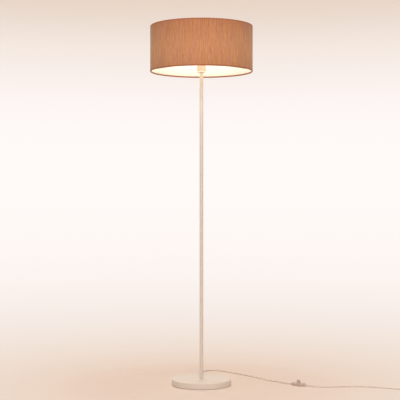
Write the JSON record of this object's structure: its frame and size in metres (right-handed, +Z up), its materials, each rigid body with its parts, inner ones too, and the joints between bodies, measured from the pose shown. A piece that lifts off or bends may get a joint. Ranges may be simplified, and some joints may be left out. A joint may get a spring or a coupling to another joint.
{
  "type": "floor lamp",
  "caption": "Column floor lamp: round weighted base, slim white pole, brown drum shade lit from inside, and a cord with a foot switch, a coil and a flat plug.",
  "frame": {"origin": "centre of the base's underside, on the floor, under the pole's axis", "axes": "+Z up along the pole, +Y to the back where the cord leaves the base, +X to the lamp's right seen from the front"},
  "size_m": [1.2759, 0.6039, 1.574],
  "materials": {
    "white_enamel": "smooth white powder coat, satin",
    "cast_iron": "rough cast, dark primer",
    "mat_rubber": "thin black rubber mat",
    "zinc_steel": "zinc plated steel",
    "brass": "bare brass",
    "holder_white": "glossy white thermoset moulding",
    "core_cream": "matt cream insulator",
    "opal_glass": "frosted opal glass, lit",
    "clear_glass": "clear glass",
    "black_glass": "opaque black glass",
    "cap_aluminium": "pressed aluminium",
    "phosphor": "yellow coated light strips",
    "shade_cloth": "brown slubbed cloth, uneven thick yarns, lit from inside",
    "shade_liner": "stiff white translucent laminate",
    "cord_sheath": "smooth pale flexible sheath, satin",
    "relief_rubber": "pale soft moulding",
    "lead_sleeve": "insulated lead",
    "switch_plastic": "pale glossy moulding",
    "switch_inside": "matt insulating moulding",
    "spring_steel": "drawn steel wire",
    "tie_plastic": "thin soft strap",
    "plug_plastic": "pale moulded plug",
    "plug_metal": "nickel plated",
    "sleeve_black": "black insulating sleeve"
  },
  "bodies": {
    "stand": {"base_cover": "white_enamel", "pole_lower": "white_enamel", "pole_middle": "white_enamel", "pole_upper": "white_enamel", "base_weight": "cast_iron", "base_mat": "mat_rubber", "foot_washer": "zinc_steel", "foot_lock_washer": "zinc_steel", "foot_nut": "zinc_steel", "foot_nipple": "zinc_steel", "tube_inserts": "zinc_steel", "joint_nipples": "zinc_steel", "holder_nipple": "zinc_steel", "switch_screws": "zinc_steel", "screw_shell": "brass", "centre_contact": "brass", "terminal_screws": "brass", "switch_contacts": "brass", "bulb_contact": "brass", "holder_cap": "holder_white", "holder_skirt": "holder_white", "lower_shade_ring": "holder_white", "upper_shade_ring": "holder_white", "holder_core": "core_cream", "bulb_glass": "opal_glass", "bulb_stem": "clear_glass", "bulb_insulator": "black_glass", "bulb_cap": "cap_aluminium", "bulb_filaments": "phosphor", "inner_cord": "cord_sheath", "cord_lamp_side": "cord_sheath", "cord_plug_side": "cord_sheath", "cord_coil": "cord_sheath", "switch_cord_ends": "cord_sheath", "cord_relief": "relief_rubber", "switch_boots": "relief_rubber", "terminal_leads": "lead_sleeve", "switch_base": "switch_plastic", "switch_cover": "switch_plastic", "switch_mechanism": "switch_inside", "switch_clamps": "switch_inside", "switch_spring": "spring_steel", "cord_tie": "tie_plastic", "plug_body": "plug_plastic", "plug_boot": "plug_plastic", "plug_pins": "plug_metal", "plug_pin_sleeves": "sleeve_black"},
    "shade": {"shade_cloth": "shade_cloth", "shade_liner": "shade_liner", "top_wire_ring": "white_enamel", "bottom_wire_ring": "white_enamel", "fitting_ring": "white_enamel", "spider_arms": "white_enamel", "back_seam": "shade_cloth"},
    "button": {"switch_button": "switch_plastic", "switch_contact_bridge": "brass"}
  },
  "joints": [
    {"name": "shade_turn", "type": "hinge", "parent": "stand", "child": "shade", "pos_m": [0, 0, 1.4126], "axis": [0, 0, 1], "continuous": true},
    {"name": "button_press", "type": "slide", "parent": "stand", "child": "button", "axis": [0, 0, -1], "range_m": [0, 0.0035], "stiffness_N_per_m": 300, "springref_m": -0.003, "deforming": ["switch_spring"]}
  ]
}
